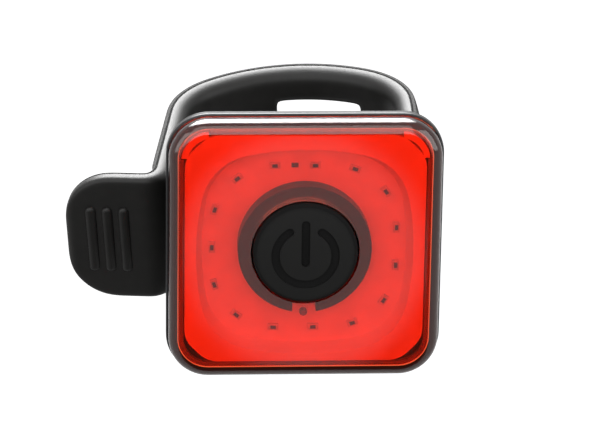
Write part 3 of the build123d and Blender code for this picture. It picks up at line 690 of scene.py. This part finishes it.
def cut_hole(mesh, rings, start, end, rows, crease):
    """Rectangular hole through the band between two stations and two rows."""
    count = len(rings[0])
    middle = count // 2
    columns = [(row % count, (row + 1) % count) for row in range(-rows, rows)]
    columns += [(middle + row, middle + row + 1) for row in range(-rows, rows)]
    doomed = []
    for ring, after in zip(rings[start:end], rings[start + 1:end + 1]):
        for near, far in columns:
            doomed += set(ring[near].link_faces) & set(ring[far].link_faces) & set(
                after[near].link_faces)
    bmesh.ops.delete(mesh, geom=doomed, context="FACES")
    rim = [edge for edge in mesh.edges if edge.is_boundary]
    for edge in rim:
        edge[crease] = rim_crease
    bmesh.ops.bridge_loops(mesh, edges=rim)


def finish_mesh(mesh, name, material):
    """Smooth object from a bmesh, with its normals outward and its material."""
    bmesh.ops.recalc_face_normals(mesh, faces=mesh.faces)
    for face in mesh.faces:
        face.smooth = True
    data = bpy.data.meshes.new(name)
    mesh.to_mesh(data)
    mesh.free()
    piece = bpy.data.objects.new(name, data)
    bpy.context.scene.collection.objects.link(piece)
    piece.data.materials.append(material)
    return piece


# %% [markdown]
# ## The band, its window and its tail
# The band and the tail are one mesh, although they are two bodies of the mechanism, since
# no seam shows on the real strap. The faces of the mould line get a finish of their own
# that swallows light. The outside gets a duller one than the rest, so that the lamp behind
# doesn't bleach it.

# %% The strap
line_slot = 1
outside_slot = 2
window_rows = 3
hook_rows = 2
softening = 2
strap_mesh = bmesh.new()
crease = strap_mesh.edges.layers.float.new("crease_edge")
rings = loft(strap_mesh, [ring_places(index) for index in range(len(stations))])
line_start = len(inside) - 1
ring_size = len(rings[0])
line_pairs = [(line_start, line_start + 1), (line_start + 1, line_start + 2)]
line_pairs += [(ring_size - near, ring_size - far) for near, far in line_pairs]
outer_pairs = [(near, near + 1) for near in range(line_start + 2, ring_size - line_start - 2)]
for ring in rings:
    for pairs, slot in ((line_pairs, line_slot), (outer_pairs, outside_slot)):
        for near, far in pairs:
            for face in set(ring[near].link_faces) & set(ring[far].link_faces):
                face.material_index = slot
close_end(strap_mesh, rings[0], len(inside))
close_end(strap_mesh, rings[-1], len(inside))
cut_hole(strap_mesh, rings, marks["window_right"], marks["window_left"], window_rows, crease)
cut_hole(strap_mesh, rings, marks["hook_far"], marks["hook_near"], hook_rows, crease)
open_edges = sum(edge.is_boundary for edge in strap_mesh.edges)
strap = finish_mesh(strap_mesh, "strap", finishes["strap_band"])
# Painted shade: the faces of the mould line are darker and duller, like shade in a fine
# groove.
strap.data.materials.append(moulded("mould_line_painted_shade", (0.002, 0.002, 0.002), 0.8, level=0.1))
strap.data.materials.append(strap_rubber("strap_outside", roughness=0.6, level=0.08))
subdivision = strap.modifiers.new("soften", "SUBSURF")
subdivision.levels = softening
subdivision.render_levels = softening
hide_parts("strap_band", "strap_tail")
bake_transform(strap)
print("strap faces", len(strap.data.polygons), "open edges", open_edges)

# %% [markdown]
# ## Ribs for the fingers
# The three ribs of the pull tab stand proud of its front face. Each is a ball that was
# pulled out to a long grain of rice and sunk by half into the tab, which leaves the sharp
# little crease along its foot that the photograph shows. The top of each rib leans to one
# side, so that one flank catches the light and the other stays dark.

# %% Ribs of the tab
rib_count = 3
rib_length = 11.0
rib_half_width = 0.78
rib_height = 0.5
rib_skew = 0.45
rib_first = 4.1
rib_pitch = 2.5
tab_heading = math.radians(stations[-1][2])
tab_ahead = Vector((math.cos(tab_heading), math.sin(tab_heading)))
tab_out = Vector((math.sin(tab_heading), -math.cos(tab_heading)))
tip = Vector(stations[-1][:2]) - tab_out * strap_half
ribs_mesh = bmesh.new()
for number in range(rib_count):
    rib = bmesh.ops.create_uvsphere(ribs_mesh, u_segments=20, v_segments=12, radius=1)["verts"]
    foot = tip - tab_ahead * (rib_first + number * rib_pitch)
    for vert in rib:
        rise = vert.co.z * rib_half_width + math.copysign(rib_length / 2 - rib_half_width,
                                                          vert.co.z)
        lift = vert.co.y * rib_height
        aside = vert.co.x * rib_half_width + rib_skew * abs(lift)
        place = foot + tab_ahead * aside - tab_out * lift
        vert.co = strap_space(place.x, place.y, rise)
ribs = finish_mesh(ribs_mesh, "strap_ribs", finishes["strap_tail"])
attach(ribs, "tail")
print("ribs", rib_count, "faces", len(ribs.data.polygons))

# %% [markdown]
# ## The eye on the pin
# On the right the strap ends in an eye, a short tube that turns on a steel pin between two
# ears of the bracket. Two circles are bridged to a washer, the washer is pulled up to a
# tube, and a small block joins it to the band. The block and the tube only overlap, which
# no eye can see on black rubber, and a boolean would leave a messy seam.

# %% Eye on the anchor pin
eye_centre = (17.4, -11.8)
eye_half_height = 5.2
eye_radius = 3.0
eye_bore = 1.65
neck_start = 2.7
neck_end = 4.5
eye_bevel = 0.25
sharp_angle = math.radians(60)
eye_mesh = bmesh.new()
for radius in (eye_radius, eye_bore):
    bmesh.ops.create_circle(eye_mesh, segments=48, radius=radius)
bmesh.ops.bridge_loops(eye_mesh, edges=eye_mesh.edges[:])
lifted = bmesh.ops.extrude_face_region(eye_mesh, geom=eye_mesh.faces[:],
                                       use_keep_orig=True)["geom"]
for part in lifted:
    if isinstance(part, bmesh.types.BMVert):
        part.co.z = 2 * eye_half_height
neck = bmesh.ops.create_cube(eye_mesh, size=1)["verts"]
for vert in neck:
    vert.co.x *= 2 * strap_half
    vert.co.y = (neck_start + neck_end) / 2 + (neck_end - neck_start) * vert.co.y
    vert.co.z = eye_half_height + 2 * eye_half_height * vert.co.z
for vert in eye_mesh.verts:
    vert.co = strap_space(eye_centre[0] + vert.co.x, eye_centre[1] + vert.co.y,
                          vert.co.z - eye_half_height)
rims = [edge for edge in eye_mesh.edges if edge.calc_face_angle(0) > sharp_angle]
bmesh.ops.bevel(eye_mesh, geom=rims, offset=eye_bevel * MM, segments=3, profile=0.5,
                affect="EDGES", material=-1)
eye = finish_mesh(eye_mesh, "strap_eye", finishes["strap_band"])
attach(eye, "strap")
print("eye faces", len(eye.data.polygons))

# %% [markdown]
# ## The end
# The dressed light must be as large as the solid one, so both boxes are written down before
# the pieces are handed over to their bodies.

# %% The end
print("end of the script")
